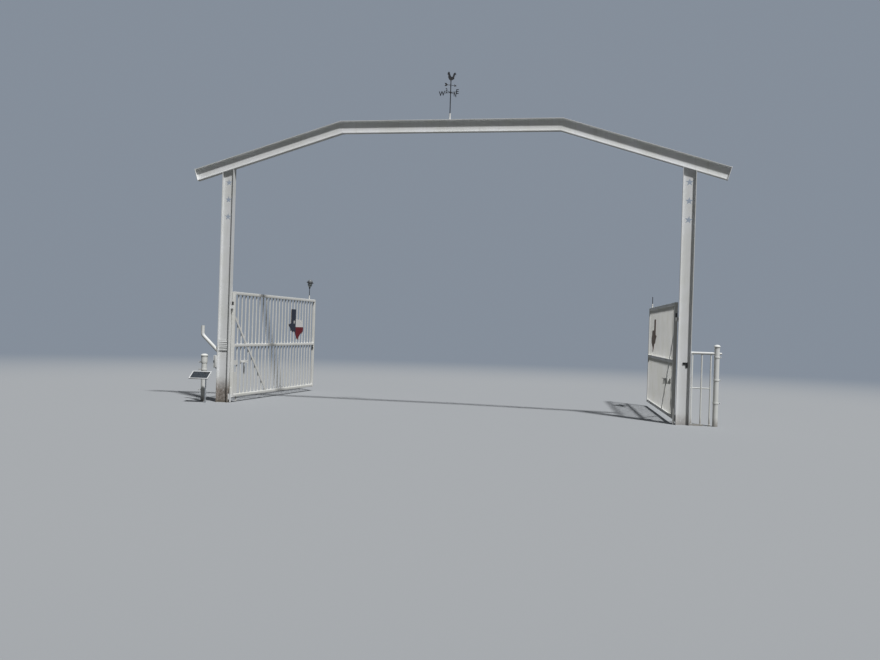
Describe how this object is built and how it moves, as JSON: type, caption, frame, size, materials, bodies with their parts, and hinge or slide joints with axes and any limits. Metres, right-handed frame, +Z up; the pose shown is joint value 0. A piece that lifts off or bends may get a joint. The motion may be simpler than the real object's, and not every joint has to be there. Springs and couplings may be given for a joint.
{
  "type": "ranch entrance gateway",
  "caption": "Ranch entrance gateway: cranked overhead I-beam on star-pierced posts, a pair of swinging picket gate leaves with map plaques, and a turning weather vane on top.",
  "frame": {"origin": "middle of the left post's foot face, on the ground line", "axes": "+X along the gateway from the left post to the right post as seen from the road, +Y into the property, away from the road, +Z up"},
  "size_m": [8.9726, 4.1096, 5.6164],
  "materials": {
    "white_steel": "white paint, satin, lightly weathered",
    "gate_steel": "white paint, satin, lightly weathered",
    "vane_iron": "black paint, matte",
    "black_steel": "black paint, worn",
    "plaque_paint": "painted in navy, white and dark red fields with a star; rusty where the paint is missing",
    "lamp_black": "black plastic, satin, with a frosted shade",
    "box_white": "off-white plastic, satin",
    "galvanized": "galvanized, dull",
    "solar_glass": "dark cells under a clear cover in a white frame"
  },
  "bodies": {
    "gateway": {"left_post": "white_steel", "right_post": "white_steel", "left_beam": "white_steel", "level_beam": "white_steel", "right_beam": "white_steel", "left_end_plate": "white_steel", "right_end_plate": "white_steel", "vane_socket": "white_steel", "vane_mast": "vane_iron", "vane_compass": "vane_iron", "left_hinge_pins": "white_steel", "right_hinge_pins": "white_steel", "side_panel": "white_steel", "right_end_post": "white_steel", "right_end_cap": "white_steel", "left_end_post": "white_steel", "left_end_cap": "white_steel", "control_box": "box_white", "vent_plate": "box_white", "mast_arm": "white_steel", "post_hook": "black_steel", "solar_stake": "galvanized", "solar_panel": "solar_glass"},
    "left_leaf": {"left_leaf_frame": "gate_steel", "left_leaf_brace": "gate_steel", "left_stile_plates": "gate_steel", "left_leaf_foot": "gate_steel", "left_hinge_barrels": "black_steel", "left_map_plaque": "plaque_paint", "left_latch": "black_steel", "left_opener_lug": "gate_steel", "left_lamp_stake": "lamp_black", "left_lamp_head": "lamp_black"},
    "right_leaf": {"right_leaf_frame": "gate_steel", "right_leaf_brace": "gate_steel", "right_stile_plate": "gate_steel", "right_hinge_barrels": "black_steel", "right_map_plaque": "plaque_paint", "right_latch": "black_steel", "right_opener_lug": "gate_steel", "right_lamp_stake": "lamp_black"},
    "vane": {"vane_arrow": "vane_iron", "vane_rooster": "vane_iron"}
  },
  "joints": [
    {"name": "left_leaf_hinge", "type": "hinge", "parent": "gateway", "child": "left_leaf", "pos_m": [0.1385, 0, 0.15], "axis": [0, 0, 1], "range_deg": [-87, 8]},
    {"name": "right_leaf_hinge", "type": "hinge", "parent": "gateway", "child": "right_leaf", "pos_m": [7.5715, 0, 0.15], "axis": [0, 0, 1], "range_deg": [-10, 85]},
    {"name": "vane_spindle", "type": "hinge", "parent": "gateway", "child": "vane", "pos_m": [3.855, 0, 5.397], "axis": [0, 0, 1], "continuous": true}
  ]
}
